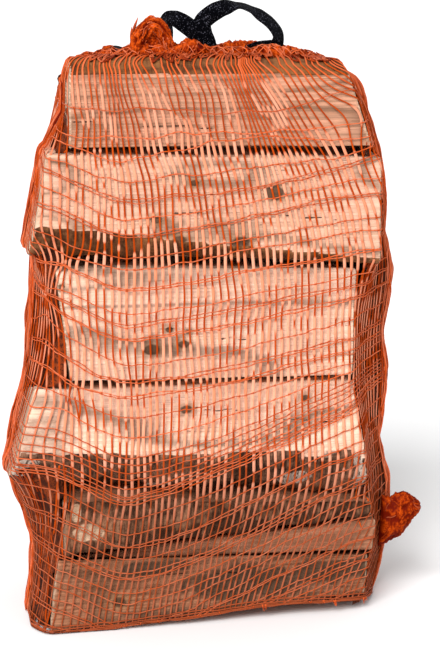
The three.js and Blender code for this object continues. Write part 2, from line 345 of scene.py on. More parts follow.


# bark is the direction that the bark faces, as an angle round the log from the back (0 degrees)
# over the top (90), and how far either side of it the bark reaches. heart is how far inside the
# bark the tree's centre was. tone runs from fresh cream wood at 0 through weathered tan at 1 to
# brown at 2. rind is the bark's: 0 grey-brown, 1 olive. birch is how silvery the bark is all over,
# and swollen is how far the front face bulges up and down, in millimetres. Places on the front
# face are x and z: cracks from end to end, knots with a radius, and stains, silvery bark and bare
# wood with two radii and, where it is less than full, a strength.
# Two of the stains below are painted: a painted shadow on log_front_3 and painted shade on
# log_front_4.
logs = {
    "log_front_1": dict(bark=(92, 62), heart=0.085, tone=0.72, rind=1.0, rugged=0.6, seed=11,
                        cracks=[(-0.125, 0.456, -0.110, 0.454), (-0.064, 0.450, -0.004, 0.448)],
                        knots=[(-0.02, 0.418, 0.003)]),
    "log_front_2": dict(bark=(-138, 26), heart=0.095, tone=0.42, rind=0.85, rugged=0.7, seed=12,
                        cracks=[(-0.038, 0.375, -0.016, 0.374), (0.05, 0.372, 0.105, 0.366),
                                (0.02, 0.346, 0.032, 0.349)],
                        knots=[(0.019, 0.348, 0.0065), (0.049, 0.391, 0.007), (-0.035, 0.352, 0.005),
                               (-0.055, 0.370, 0.004), (-0.021, 0.401, 0.003)],
                        stains_and_painted_shade=[(-0.045, 0.364, 0.018, 0.011, 0.6), (0.05, 0.388, 0.020, 0.006, 0.4),
                                (-0.08, 0.35, 0.04, 0.008, 0.4), (0.01, 0.345, 0.03, 0.01, 0.35)]),
    "log_front_3": dict(bark=(0, 30), heart=0.07, tone=0.0, rind=0.0, rugged=1, seed=13,
                        cracks=[(-0.05, 0.273, -0.016, 0.270), (-0.058, 0.260, -0.056, 0.248),
                                (0.0, 0.262, 0.03, 0.261)],
                        knots=[(-0.058, 0.254, 0.0055), (-0.030, 0.258, 0.004), (-0.043, 0.272, 0.003),
                               (-0.026, 0.2695, 0.0025), (-0.137, 0.313, 0.003)],
                        # The second stain, a thin band along this log's top, is a painted shadow cast
                        # by the log above.
                        stains_and_painted_shade=[(-0.045, 0.257, 0.032, 0.012, 0.55), (0.03, 0.322, 0.12, 0.006, 0.4)]),
    "log_front_4": dict(bark=(-135, 32), heart=0.1, tone=0.05, rind=0.15, rugged=2.0, seed=14,
                        cracks=[(-0.03, 0.201, 0.04, 0.194), (0.035, 0.190, 0.107, 0.182)],
                        knots=[(-0.028, 0.199, 0.004), (0.08, 0.205, 0.003)],
                        # The second stain, at this log's left end, is painted shade that darkens faces
                        # the key light catches.
                        stains_and_painted_shade=[(0.0, 0.170, 0.16, 0.007, 0.3), (-0.155, 0.182, 0.035, 0.03, 0.5)],
                        silver=[(-0.170, 0.150, 0.018, 0.014), (0.134, 0.140, 0.012, 0.03),
                                (-0.05, 0.125, 0.012, 0.008), (0.07, 0.13, 0.016, 0.009)]),
    "log_front_5": dict(bark=(180, 46), heart=0.08, tone=1.3, rind=0.35, rugged=2.2, seed=15,
                        bare=[(-0.127, 0.108, 0.006, 0.007), (-0.117, 0.090, 0.015, 0.008),
                              (-0.092, 0.077, 0.015, 0.005, 0.45)]),
    "log_front_6": dict(bark=None, heart=0.09, tone=1.3, rind=0, rugged=1, seed=16, swollen=0.8,
                        stains_and_painted_shade=[(0.0, 0.06, 0.03, 0.012, 0.5)]),
    "log_front_7": dict(bark=(0, 30), heart=0.09, tone=1.6, rind=0.2, rugged=1.2, seed=17,
                        cracks=[(-0.138, 0.062, -0.110, 0.050), (-0.05, 0.047, 0.02, 0.044)],
                        stains_and_painted_shade=[(0.025, 0.034, 0.055, 0.018, 0.95), (-0.06, 0.055, 0.035, 0.009, 0.8),
                                (0.105, 0.040, 0.05, 0.014, 0.85),
                                (-0.03, 0.012, 0.09, 0.007, 0.6)],
                        knots=[(-0.09, 0.025, 0.005)], bare=[(-0.153, 0.018, 0.002, 0.014, 0.8)]),
    "log_back_1": dict(bark=(0, 50), heart=0.08, tone=0.5, rind=0.3, rugged=1.4, seed=21, birch=0.5),
    "log_back_2": dict(bark=(0, 35), heart=0.09, tone=0.2, rind=0.1, rugged=1.4, seed=22, birch=0.8),
    "log_back_3": dict(bark=(0, 40), heart=0.085, tone=0.6, rind=0.4, rugged=1.5, seed=23, birch=0.3),
    "log_back_4": dict(bark=(0, 35), heart=0.1, tone=0.3, rind=0.2, rugged=1.3, seed=24, birch=0.9),
    "log_back_5": dict(bark=(0, 30), heart=0.09, tone=0.15, rind=0.2, rugged=1.3, seed=25, birch=0.7),
    "log_back_6": dict(bark=(0, 35), heart=0.08, tone=0.8, rind=0.5, rugged=1.6, seed=26, birch=0.2),
}


def rows_of(items, key):
    """The vectors that a mesh's vertices or vertex normals hold, one to a row."""
    flat = np.zeros(len(items) * 3, np.float32)
    items.foreach_get(key, flat)
    return flat.reshape(-1, 3).astype(float)


def patches(x, z, spots, front, wobble):
    """1 inside any of some oval spots on the front face, falling to 0 outside them."""
    total = np.zeros(len(x))
    for spot in spots:
        away = np.hypot((x - spot[0]) / spot[2], (z - spot[1]) / spot[3]) + wobble
        total = np.maximum(total, (spot[4] if len(spot) > 4 else 1) * (1 - ease(away, 0.6, 1.25)))
    return total * front


def from_cracks(points, cracks, seed):
    """How far each point is from the nearest crack on the front face, in millimetres, up to 9."""
    nearest = np.full(len(points), 9.0)
    for x0, z0, x1, z1 in cracks:
        along = np.clip((points[:, 0] - x0) / (x1 - x0), 0, 1)
        height = z0 + along * (z1 - z0) + 0.0012 * smooth_noise(points * [90, 0, 0], seed)
        beyond = np.abs(points[:, 0] - (x0 + along * (x1 - x0)))
        nearest = np.minimum(nearest, 1000 * np.hypot(beyond * 0.4, points[:, 2] - height))
    return nearest


def from_knots(points, knots):
    """How far each point is from the nearest knot on the front face, in knot sizes, up to 9."""
    nearest = np.full(len(points), 9.0)
    for x, z, size in knots:
        away = np.hypot((points[:, 0] - x) / 1.5, points[:, 2] - z)
        nearest = np.minimum(nearest, away / size)
    return nearest


def fine_copy(name):
    """A log's solid as a piece of its own, remeshed finely enough for grain to be raised on it."""
    piece = bpy.data.objects.new(name.replace("log", "wood"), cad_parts[name].data.copy())
    bpy.context.scene.collection.objects.link(piece)
    bpy.ops.object.select_all(action="DESELECT")
    piece.select_set(True)
    bpy.context.view_layer.objects.active = piece
    bpy.ops.object.mode_set(mode="EDIT")
    bpy.ops.mesh.select_all(action="SELECT")
    bpy.ops.mesh.remove_doubles(threshold=0.00002)
    bpy.ops.object.mode_set(mode="OBJECT")
    remesh = piece.modifiers.new("grain", "REMESH")
    remesh.mode = "VOXEL"
    remesh.voxel_size = grain_size
    bpy.ops.object.modifier_apply(modifier=remesh.name)
    return piece


def make_log(name, bark, heart, tone, rind, rugged, seed, cracks=(), knots=(), stains_and_painted_shade=(),
             silver=(), bare=(), birch=0.0, swollen=0.0):
    piece = fine_copy(name)
    points = rows_of(piece.data.vertices, "co")
    normals = rows_of(piece.data.vertex_normals, "vector")
    x, y, z = points.T
    middle = (points.min(axis=0) + points.max(axis=0)) / 2
    end = ease(np.abs(normals[:, 0]), 0.45, 0.75)
    facing, spread = bark or (0, 0)
    angle = math.radians(facing)
    outward = np.array([0, math.cos(angle), math.sin(angle)])
    reach = points @ outward
    heart_point = middle + outward * (reach.max() - middle @ outward - heart)
    lean = np.degrees(np.arccos(np.clip((unit(normals * [0, 1, 1]) @ outward), -1, 1)))
    ragged = 6 * smooth_noise(points * [60, 160, 160], seed + 100)
    barked = (1 - ease(lean + ragged, spread - 3, spread + 3)) * (1 - end) if bark else 0 * end
    front = ease(-normals[:, 1], 0.1, 0.35)
    wobble = 0.35 * smooth_noise(points * 130, seed + 101)
    bared = patches(x, z, bare, front, wobble)
    barked = barked * (1 - bared)

    # Long ridges and shallow steps along the grain of the cleft faces.
    cleft = (1 - end) * (1 - barked)
    ridges = 0.9 * smooth_noise(points * [9, 70, 70], seed) + 0.5 * smooth_noise(
        points * [16, 190, 190], seed + 1)
    terraces = 2.2 * smooth_noise(points * [4, 22, 22], seed + 2)
    fall = np.floor(terraces) + ease(terraces - np.floor(terraces), 0.75, 1)
    rough = 0.35 * smooth_noise(points * 300, seed + 3)
    cleft_rise = cleft * (ridges + 1.1 * fall + rough)
    # Bark swells and is ringed by shallow welts round the log.
    welts = 0.7 * smooth_noise(points * [140, 30, 30], seed + 4) + 1.2 * smooth_noise(
        points * [30, 30, 30], seed + 5)
    fissure = 1.6 * ridged(points * [70, 48, 48], seed + 9)
    bark_rise = barked * (0.6 + rugged * (welts + 0.4 * smooth_noise(points * 260, seed + 6))
                          + (rugged - 0.6) * fissure)
    splinters = bared * 2.2 * ridged(points * [40, 150, 150], seed + 10)
    saw_rise = end * 0.35 * smooth_noise(points * [20, 40, 40], seed + 7)
    footing = ease(z, 0.003, 0.012)
    # Cracks are sunk and knots stand out.
    crack = from_cracks(points, cracks, seed + 102) + 9 * (1 - front)
    knot = from_knots(points, knots) + 9 * (1 - front)
    sunk = -1.3 * (1 - ease(crack, 0.6, 2.6)) + 0.7 * (1 - ease(knot, 0.6, 1.4))
    swell = swollen * (1 - end) * ease(np.abs(normals[:, 2]), 0.5, 0.9) * ease(middle[1] - y, 0, 0.02)
    rise = (cleft_rise + bark_rise + saw_rise + splinters + sunk + swell) * footing * 0.001
    points += normals * rise[:, None]
    piece.data.vertices.foreach_set("co", points.astype(np.float32).ravel())
    piece.data.update()

    off_heart = np.hypot(y - heart_point[1], z - heart_point[2])
    ring = off_heart * 1000 + 2.5 * smooth_noise(points * [6, 14, 14], seed + 8)
    height = 0.5 + 0.25 * (ridges + welts * barked)
    terrace_edge = terraces - np.floor(terraces)
    carry(piece.data, dict(
        bark=barked, end=end, fresh=bared, ring=ring, height=height, crack=crack, knot=knot,
        tone=np.full(len(x), tone), rind=np.full(len(x), rind),
        stain_and_painted_shade=patches(x, z, stains_and_painted_shade, front, wobble),
        silver=np.maximum(patches(x, z, silver, front, wobble), birch),
        # step marks the risers of the cleft faces' steps, for the finish to darken as painted shade.
        step=cleft * ease(terrace_edge, 0.72, 0.86) * (1 - ease(terrace_edge, 0.9, 1))))
    bpy.ops.object.shade_smooth()
    piece.data.materials.clear()
    piece.data.materials.append(birch_wood)
    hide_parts(name)
    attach(piece, "root")
    return piece


def birch_finish():
    """Split birch: cream wood with fibres and growth rings, sawn ends, and bark where it is left."""
    finish = Finish("birch_wood_and_bark")
    bark = finish.value("bark")
    end = finish.value("end")
    ring = finish.value("ring")
    tone = finish.value("tone")
    step = finish.value("step")

    grain = finish.noise(finish.stretched((12, 400, 400)), detail=4, roughness=0.6)
    fibre = finish.noise(finish.stretched((30, 1300, 1300)), detail=2)
    cloud = finish.noise(finish.stretched((9, 26, 26)), detail=3)
    blotch = finish.noise(finish.stretched((90, 130, 130)), detail=4, roughness=0.6)
    year = finish.node("ShaderNodeTexNoise", {"W": ring * 0.45, "Detail": 2, "Scale": 1},
                       noise_dimensions="1D")
    weathered = tone.step(0, 1)
    browned = tone.step(0.9, 2)
    cream = finish.blend(weathered, (0.93, 0.63, 0.475), (0.62, 0.27, 0.155))
    cream = finish.blend(browned, cream, (0.33, 0.128, 0.058))
    shade = finish.blend(weathered, (0.80, 0.505, 0.355), (0.42, 0.175, 0.092))
    shade = finish.blend(browned, shade, (0.12, 0.042, 0.017))
    wood = finish.blend((grain * 0.72 + year * 0.28).step(0.36, 0.64), shade, cream)
    wood = finish.blend(cloud.step(0.52, 0.7) * 0.16, wood, (0.42, 0.27, 0.19))
    wood = finish.blend(fibre.step(0.58, 0.72) * 0.45, wood, (0.20, 0.11, 0.06))
    ruled = finish.noise(finish.stretched((3, 480, 480)), detail=1).step(0.50, 0.64)
    ruled = ruled * tone.step(0.3, 0.65) * (1 - browned)
    wood = finish.blend(ruled * 0.6, wood, (0.27, 0.145, 0.085))
    wood = finish.blend((blotch * fibre).step(0.42, 0.47) * 0.6, wood, (0.05, 0.03, 0.02))
    # Painted shade: the risers of the steps in the cleft faces are darkened.
    wood = finish.blend(step * 0.55, wood, (0.10, 0.05, 0.025))
    # This mask darkens the real stains, and also one patch of painted shadow and one of painted shade.
    stain_and_painted_shade = (finish.value("stain_and_painted_shade") * (0.55 + blotch)).step(0.25, 0.85)
    wood = finish.blend(stain_and_painted_shade * 0.9, wood, (0.085, 0.048, 0.028))
    fresh = finish.value("fresh").step(0.3, 0.7)
    wood = finish.blend(fresh * 0.9, wood, finish.blend(fibre, (0.30, 0.17, 0.09), (0.80, 0.56, 0.38)))
    knot = finish.value("knot") + (blotch - 0.5) * 0.8
    wood = finish.blend((1 - knot.step(1, 2.1)) * 0.45, wood, (0.28, 0.15, 0.07))
    wood = finish.blend((1 - knot.step(0.7, 1.05)) * 0.9, wood, (0.07, 0.035, 0.018))
    # Painted shade: the cracks are coloured near black, for the shadow inside them.
    crack = 1 - (finish.value("crack") + (grain - 0.5) * 1.2).step(0.25, 0.8)
    wood = finish.blend(crack * 0.92, wood, (0.012, 0.008, 0.006))

    saw = finish.noise(finish.stretched((60, 60, 900)), detail=2)
    sawn = finish.blend(year.step(0.4, 0.62), (0.38, 0.24, 0.15), (0.66, 0.47, 0.34))
    sawn = finish.blend(saw.step(0.4, 0.7) * 0.35, sawn, (0.30, 0.19, 0.12))
    sawn = finish.blend(browned * 0.6, sawn, (0.16, 0.085, 0.045))

    welt = finish.noise(finish.stretched((300, 40, 40)), detail=4, roughness=0.65)
    patch = finish.noise(finish.stretched((28, 22, 22)), detail=4, roughness=0.65)
    speck = finish.noise(finish.stretched((500, 160, 160)), detail=2)
    rind = finish.value("rind")
    low_bark = finish.blend(rind, (0.032, 0.014, 0.008), (0.09, 0.030, 0.009))
    high_bark = finish.blend(rind, (0.29, 0.135, 0.080), (0.27, 0.105, 0.033))
    rough = (welt * 0.6 + finish.value("height") * 0.4 + (blotch - 0.5) * 0.5).step(0.36, 0.68)
    dark_bark = finish.blend(rough, low_bark, high_bark)
    pale_bark = finish.blend(speck.step(0.54, 0.64), (0.60, 0.47, 0.38), (0.10, 0.06, 0.04))
    silver = (finish.value("silver") * 0.35 + patch * 0.7 + (blotch - 0.5) * 0.3).step(0.56, 0.62)
    bark_colour = finish.blend(silver, dark_bark, pale_bark)

    colour = finish.blend(end, wood, sawn)
    colour = finish.blend(bark.step(0.35, 0.65), colour, bark_colour)
    height = grain * 0.9 + fibre * 0.4 + welt * bark * 1.6 + blotch * bark + saw * end * 0.5
    height = height - crack * 1.5
    return finish.surface({"Base Color": colour, "Roughness": 0.82 - bark * 0.12,
                           "Specular IOR Level": 0.15}, height=height, height_scale=0.001)


birch_wood = birch_finish()
wood = [make_log(name, **traits) for name, traits in logs.items()]


# ---------------------------------------------------------------------------------------------
# Net bag: its shape. The bag is stretched over the logs and drawn up at its mouth, so its shape is
# found by drawing a skin of points in along rays until it lies taut on the wood. Every strand of
# the net is then placed on that skin by its distance round the bag and up it.

skin_columns = 384
wall_rows = 154
shoulder_rows = 36
wall_top = 0.484
net_gap = 0.0011
tautening_turns = 700
tucked_columns = 36


def rounded_ring(half_x, half_y, corner, centre, steps):
    """Points round a rounded rectangle and its outward directions, from its left end along its
    front. steps are the relative distances from each point to the next."""
    corners, outward = [], []
    for start, side_x, side_y in ((180, -1, -1), (270, 1, -1), (0, 1, 1), (90, -1, 1)):
        turn = np.radians(np.linspace(start, start + 90, 60))
        way = np.stack([np.cos(turn), np.sin(turn)], axis=1)
        corners.append(np.array([side_x * half_x, side_y * half_y]) + corner * way)
        outward.append(way)
    ring, outward = np.vstack(corners), np.vstack(outward)
    ring, outward = np.vstack([ring, ring[:1]]), np.vstack([outward, outward[:1]])
    length = np.concatenate([[0], np.cumsum(np.linalg.norm(np.diff(ring, axis=0), axis=1))])
    even = (np.cumsum(steps) - steps) / np.sum(steps) * length[-1]
    ring_even = np.stack([np.interp(even, length, ring[:, k]) for k in range(2)], axis=1)
    way_even = np.stack([np.interp(even, length, outward[:, k]) for k in range(2)], axis=1)
    return ring_even + centre, unit(way_even)


# The mouth is drawn up on its string: the net keeps its width over the logs' faces, and is
# bunched at the ends.
wall_ring, wall_out = rounded_ring(0.105, 0.02, 0.1, (-0.012, 0.0), np.ones(skin_columns))
mouth_steps = 0.18 + 0.72 * (1 - ease(np.abs(wall_ring[:, 0] + 0.012), 0.09, 0.13))
mouth_ring, _ = rounded_ring(0.1035, 0.002, 0.013, (0.004, -0.0066), mouth_steps)
right_column = int(np.argmin(np.hypot(wall_ring[:, 0] - wall_ring[:, 0].max(),
                                      wall_ring[:, 1] + 0.015)))

rise_angle = np.concatenate([np.zeros(wall_rows), np.linspace(0, np.pi / 2, shoulder_rows + 1)[1:]])
wall_share = np.cos(rise_angle)[:, None, None]
skin_start = np.zeros((len(rise_angle), skin_columns, 3))
skin_start[..., :2] = wall_share * wall_ring + (1 - wall_share) * mouth_ring
skin_start[:wall_rows, :, 2] = np.linspace(0.0015, wall_top, wall_rows)[:, None]
skin_start[wall_rows:, :, 2] = wall_top + 0.09 * np.sin(rise_angle[wall_rows:, None])
ray = np.zeros_like(skin_start)
ray[..., :2] = -wall_share * wall_out
ray[..., 2] = -np.sin(rise_angle)[:, None]
ray = unit(ray)

graph = bpy.context.evaluated_depsgraph_get()
wood_heights = [rows_of(piece.data.vertices, "co")[:, 2] for piece in wood]
trees = [(BVHTree.FromObject(piece, graph), heights.min(), heights.max())
         for piece, heights in zip(wood, wood_heights)]
reach = np.full(skin_start.shape[:2], 0.3)
for j in range(skin_start.shape[0]):
    for i in range(skin_columns):
        start = skin_start[j, i].copy()
        if j < wall_rows:
            start[2] = max(start[2], 0.006)
        for tree, low, high in trees:
            if j < wall_rows and not low < start[2] < high:
                continue
            hit = tree.ray_cast(Vector(start), Vector(ray[j, i]), 0.16)
            if hit[0] is not None:
                reach[j, i] = min(reach[j, i], hit[3] - net_gap)

wood_reach = reach.copy()

# Down each side the seam stands off from the log ends: height and place across, at each side.
left_seam = np.array([
    [0, -0.170], [0.005, -0.171], [0.016, -0.170], [0.028, -0.167], [0.063, -0.1645],
    [0.074, -0.165], [0.098, -0.172], [0.121, -0.181], [0.144, -0.187], [0.155, -0.1845],
    [0.189, -0.179], [0.21, -0.172], [0.222, -0.1685], [0.244, -0.1655], [0.277, -0.165],
    [0.299, -0.161], [0.342, -0.159], [0.36, -0.156], [0.385, -0.158], [0.396, -0.1545],
    [0.407, -0.151], [0.428, -0.1477], [0.449, -0.138], [0.459, -0.131], [0.48, -0.1265],
    [0.50, -0.118],
])
right_seam = np.array([
    [0, 0.157], [0.01, 0.162], [0.033, 0.1673], [0.06, 0.173], [0.09, 0.1755], [0.116, 0.1735],
    [0.128, 0.1694], [0.152, 0.163], [0.175, 0.1675], [0.22, 0.1704], [0.244, 0.166],
    [0.255, 0.165], [0.278, 0.170], [0.311, 0.1733], [0.345, 0.165], [0.378, 0.1663],
    [0.40, 0.163], [0.422, 0.1585], [0.444, 0.151], [0.455, 0.146], [0.466, 0.145],
    [0.477, 0.141], [0.488, 0.1325], [0.50, 0.1195],
])
seams = ((0, left_seam), (right_column, right_seam))
for column, seam in seams:
    outline = np.interp(skin_start[:wall_rows, column, 2], *seam.T)
    found = np.abs(skin_start[:wall_rows, column, 0] - outline)
    for near in range(-2, 3):
        beside = (column + near) % skin_columns
        reach[:wall_rows, beside] = np.minimum(reach[:wall_rows, beside],
                                               found + 0.001 * abs(near))
# At the foot the bag's left front corner is spread out on the ground: how far it reaches from the
# corner's middle, by direction in degrees.
corner_turn = np.degrees(np.arctan2(-wall_out[:60, 1], -wall_out[:60, 0]))
corner_size = np.interp(corner_turn, [0, 19, 46, 62], [0.0575, 0.059, 0.072, 0.080])
for row in range(12):
    spread = 0.1 - corner_size + 0.3 * skin_start[row, 0, 2]
    reach[row, :60] = np.minimum(reach[row, :60], np.where(corner_turn < 62, spread, 1.0))

# Between the logs' ends the net is tucked in, no further out than its seam.
tucked = np.zeros_like(reach)
for column, seam in seams:
    for near in range(-tucked_columns, tucked_columns + 1):
        beside = (column + near) % skin_columns
        way = ray[:wall_rows, beside, 0]
        outline = np.interp(skin_start[:wall_rows, beside, 2], *seam.T)
        inward = (outline * 0.985 - skin_start[:wall_rows, beside, 0]) / way
        inward = np.minimum(inward, wood_reach[:wall_rows, beside])
        tucked[:wall_rows, beside] = np.where(np.abs(way) > 0.25, inward, 0)

# The mouth lies along the hem: place across and height.
hem_outline = np.array([
    [-0.115, 0.5005], [-0.105, 0.503], [-0.095, 0.506], [-0.06, 0.509], [-0.02, 0.5095],
    [0.03, 0.5085], [0.06, 0.508], [0.085, 0.506], [0.10, 0.502], [0.12, 0.496],
])
mouth_depth = skin_start[-1, :, 2] - np.interp(mouth_ring[:, 0], *hem_outline.T)
depth = np.minimum(reach, 0.11)
depth[-1] = mouth_depth
for turn in range(tautening_turns):
    skin = skin_start + ray * depth[..., None]
    beside = (np.roll(skin, 1, axis=1) + np.roll(skin, -1, axis=1)) / 2
    above = np.vstack([skin[1:], skin[-1:]])
    below = np.vstack([skin[:1], skin[:-1]])
    taut = 0.5 * beside + 0.25 * (above + below)
    depth = np.maximum(np.minimum(np.sum((taut - skin_start) * ray, axis=-1), reach), tucked)
    depth[-1] = mouth_depth
skin = skin_start + ray * depth[..., None]
skin_normal = unit(np.cross(np.roll(skin, -1, axis=1) - np.roll(skin, 1, axis=1),
                            np.gradient(skin, axis=0)))
room = np.clip(wood_reach - depth, 0, 0.014)

# Distances over the skin: once round it at half its height, and up its front.
middle_ring = skin[wall_rows // 2]
ring_steps = np.linalg.norm(np.roll(middle_ring, -1, axis=0) - middle_ring, axis=1)
ring_way = np.concatenate([[0], np.cumsum(ring_steps)])
girth = ring_way[-1]
right_place = ring_way[right_column]
rise_way = np.concatenate([[0], np.cumsum(np.linalg.norm(np.diff(skin, axis=0), axis=2).mean(1))])
rise_way[:wall_rows] = skin[:wall_rows, 0, 2]
rise_way[wall_rows:] += rise_way[wall_rows - 1] - (rise_way[wall_rows] - 0.002)
net_top = rise_way[-1]
# The front bottom log is crooked, so the bag's front bottom edge climbs from its left corner.
foot_outline = np.array([
    [-0.155, 0.0], [-0.10, 0.0015], [-0.016, 0.0067], [0.041, 0.012], [0.09, 0.012],
    [0.136, 0.010], [0.162, 0.003],
])
foot = np.interp(skin[0, :, 0], *foot_outline.T) * ease(-skin[0, :, 1], 0.01, 0.06)


def columns_at(around):
    """The skin's column, as a fraction, at a distance round the bag."""
    return np.interp(np.mod(around, girth), ring_way, np.arange(skin_columns + 1))


def foot_at(around):
    """The height of the bag's bottom edge at a distance round it."""
    return np.interp(columns_at(around), np.arange(skin_columns + 1), np.append(foot, foot[0]))


def on_skin(around, up):
    """Points and outward directions on the skin, from distances round the bag and up it."""
    i = columns_at(around)
    j = np.interp(up, rise_way, np.arange(len(rise_way)))
    i0, j0 = np.floor(i).astype(int), np.minimum(np.floor(j).astype(int), len(rise_way) - 2)
    a, b = (i - i0)[..., None], (j - j0)[..., None]
    i0, i1 = i0 % skin_columns, (i0 + 1) % skin_columns
    out = []
    for field in (skin, skin_normal):
        low_row = field[j0, i0] * (1 - a) + field[j0, i1] * a
        high_row = field[j0 + 1, i0] * (1 - a) + field[j0 + 1, i1] * a
        out.append(low_row * (1 - b) + high_row * b)
    return out[0], unit(out[1])


def noise_round(around, up, wave_round, wave_up, seed):
    """Smooth noise over the skin that closes on itself round the bag."""
    angle = 2 * np.pi * around / girth
    radius = girth / 2 / np.pi / wave_round
    place = np.stack([radius * np.cos(angle), radius * np.sin(angle), up / wave_up + 0 * angle],
                     axis=-1)
    return smooth_noise(place.reshape(-1, 3) + 50, seed).reshape(angle.shape)


def front_share(around):
    """1 over the front of the bag, 0 over its back, and between them at its sides."""
    share = np.mod(around, girth) / girth
    return ease(share, 0.0, 0.04) * (1 - ease(share, 0.52, 0.64))


def across_front(around):
    """Place across the front in metres, from about -0.17 at the left seam to 0.17 at the right."""
    return np.interp(columns_at(around), np.arange(skin_columns + 1),
                     np.append(middle_ring[:, 0], middle_ring[0, 0]))


# ---------------------------------------------------------------------------------------------
# Net bag: tapes and threads. Orange polyethylene raschel net: flat slit-film tapes run up the bag,
# and thin threads, some in pairs, are knitted across them. They drift, hang and catch on the logs.

tape_width = 0.0027
tape_thickness = 0.00018
thread_width = 0.0008
thread_thickness = 0.0005


def tape_drift(around, up):
    """How far the tapes are pulled to one side. They lean more and more to the right edge high on
    the front, where they draw in to the mouth, and to the left low down, where the bag is slack."""
    x = across_front(around)
    lean = 0.45 * ease(x, -0.15, -0.02) + 0.55 * ease(x, 0.03, 0.12)
    high = -2.1 * np.clip(up - 0.31, 0, 0.19) ** 2 * lean
    low = -0.032 * (1 - ease(up, -0.03, 0.145)) * (0.6 + 0.6 * ease(x, -0.1, 0.12))
    messy = 1 + 1.5 * ease(up, 0.40, 0.46)
    waves = 0.0028 * noise_round(around, up, 0.05, 0.07, 201) + messy * 0.0012 * noise_round(
        around, up, 0.02, 0.025, 202)
    return (high + low) * front_share(around) + waves


def thread_drift(around, up):
    """How far the threads are lifted: they hang from both seams, furthest from the right one."""
    x = across_front(around)
    slack = 1 - ease(up, 0.1, 0.24)
    left = 0.034 * (1 - ease(x, -0.165, -0.075)) * (1 - 0.5 * ease(up, 0.36, 0.44))
    right_end = 0.03 + 0.045 * slack
    right = right_end * ease(x, -0.1, 0.2) * (1 - 0.6 * ease(up, 0.36, 0.44)) * 1.25
    share = np.mod(around, girth) / girth
    at_seams = ease(share, 0.5, 1.0)
    back = 0.9 * right_end * (1 - at_seams) + 0.034 * at_seams
    drift = np.where(share < 0.5, left + right, back)
    messy = 0.6 + 1.7 * ease(up, 0.36, 0.44)
    waves = messy * (0.006 * noise_round(around, up, 0.08, 0.03, 203)
                     + 0.0016 * noise_round(around, up, 0.025, 0.02, 204))
    return drift + waves


# Places where the net has caught on a corner or knot and pulled the strands near it together, or
# where a negative strength spreads them apart: distance round and up, reach, and strength.
catches = [(0.045, 0.302, 0.03, 0.75), (0.02, 0.43, 0.03, 0.5), (0.455, 0.095, 0.055, 0.55),
           (0.44, 0.44, 0.03, 0.4), (0.39, 0.475, 0.02, 0.5), (0.165, 0.462, 0.009, 0.5),
           (0.196, 0.443, 0.010, 0.5), (0.310, 0.458, 0.026, -0.3), (0.07, 0.215, 0.02, 0.5),
           (0.43, 0.30, 0.025, 0.5), (0.07, 0.335, 0.02, 0.6), (0.40, 0.375, 0.02, 0.6),
           (0.345, 0.437, 0.018, 0.5), (0.13, 0.505, 0.014, 0.6), (0.235, 0.508, 0.012, 0.6)]
# Where it has been dragged to one side and up: distance round and up, reach, and how far.
drags = [(0.318, 0.458, 0.022, 0.018, 0.008), (0.16, 0.40, 0.02, 0.002, 0.004)]


def caught(around, up):
    """Where strands lie once the net is caught and dragged."""
    for place, height, size, strength in catches:
        near = np.exp(-((around - place) ** 2 + (up - height) ** 2) / size ** 2)
        around = around - strength * near * (around - place)
        up = up - strength * near * (up - height)
    for place, height, size, aside, lifted in drags:
        near = np.exp(-((around - place) ** 2 + (up - height) ** 2) / size ** 2)
        around, up = around + aside * near, up + lifted * near
    return around, up


def net_finish():
    """Orange slit film: pale and milky where a tape lies flat, deep orange where it is folded, dimmed
    towards brown where it carries painted shade, and dark with painted shade in its creases and in the
    holes of net that is crumpled up."""
    finish = Finish("orange_net_film")
    fold = finish.value("fold")
    shade = finish.value("shade")
    speck = finish.noise(finish.stretched((700, 700, 250)), detail=1)
    hole = finish.noise(finish.stretched((560, 560, 560)), detail=1).step(0.5, 0.62)
    dull = finish.value("dull")
    flat = finish.blend(shade, (0.74, 0.25, 0.13), (0.85, 0.375, 0.24))
    folded = finish.blend(shade, (0.36, 0.038, 0.001), (0.66, 0.092, 0.007))
    colour = finish.blend(fold, flat, folded)
    # Painted shade: net low on the bag, under it and folded in at its sides is dimmed towards brown.
    painted_dim = finish.blend(fold, (0.43, 0.155, 0.088), (0.25, 0.055, 0.018))
    colour = finish.blend(dull, colour, painted_dim)
    colour = finish.blend(speck.step(0.5, 0.8) * 0.3, colour, (0.34, 0.035, 0.002))
    # Painted shade: where shade is below zero, in creases, and in the holes of crumpled net the colour
    # is dark.
    painted_crevice_shade = finish.blend(dull, (0.13, 0.006, 0.0005), (0.05, 0.022, 0.013))
    colour = finish.blend((0 - shade).step(0, 1), colour, painted_crevice_shade)
    colour = finish.blend(hole * finish.value("holes"), colour, painted_crevice_shade)
    return finish.surface({"Base Color": colour, "Roughness": 0.55, "Specular IOR Level": 0.03})


def strand(line, normal, width, thick, **values):
    """A flat strand along a line of points on a surface that has those outward directions."""
    return dict(line=line, across=np.cross(np.gradient(line, axis=0), normal), width=width,
                thick=thick, values=values)


def own_places(first, second):
    """Places for noise of a strand's own, from how far along it they are and its number."""
    first, second = np.broadcast_arrays(first, second)
    return np.column_stack([first, second, np.zeros(len(first))])


def stretches(keep, shortest):
    """The unbroken stretches of a strand that are kept, without the shortest."""
    edges = np.flatnonzero(np.diff(np.concatenate([[0], keep.astype(int), [0]])))
    return [slice(first, last) for first, last in zip(edges[::2], edges[1::2])
            if last - first >= shortest]


def net_piece(piece):
    """Attaches one of the net bag's pieces to the root body."""
    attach(piece, "root")


net_film = net_finish()
random = np.random.default_rng(7)
tape_count = round(girth / 0.0062)
tape_pitch = girth / tape_count


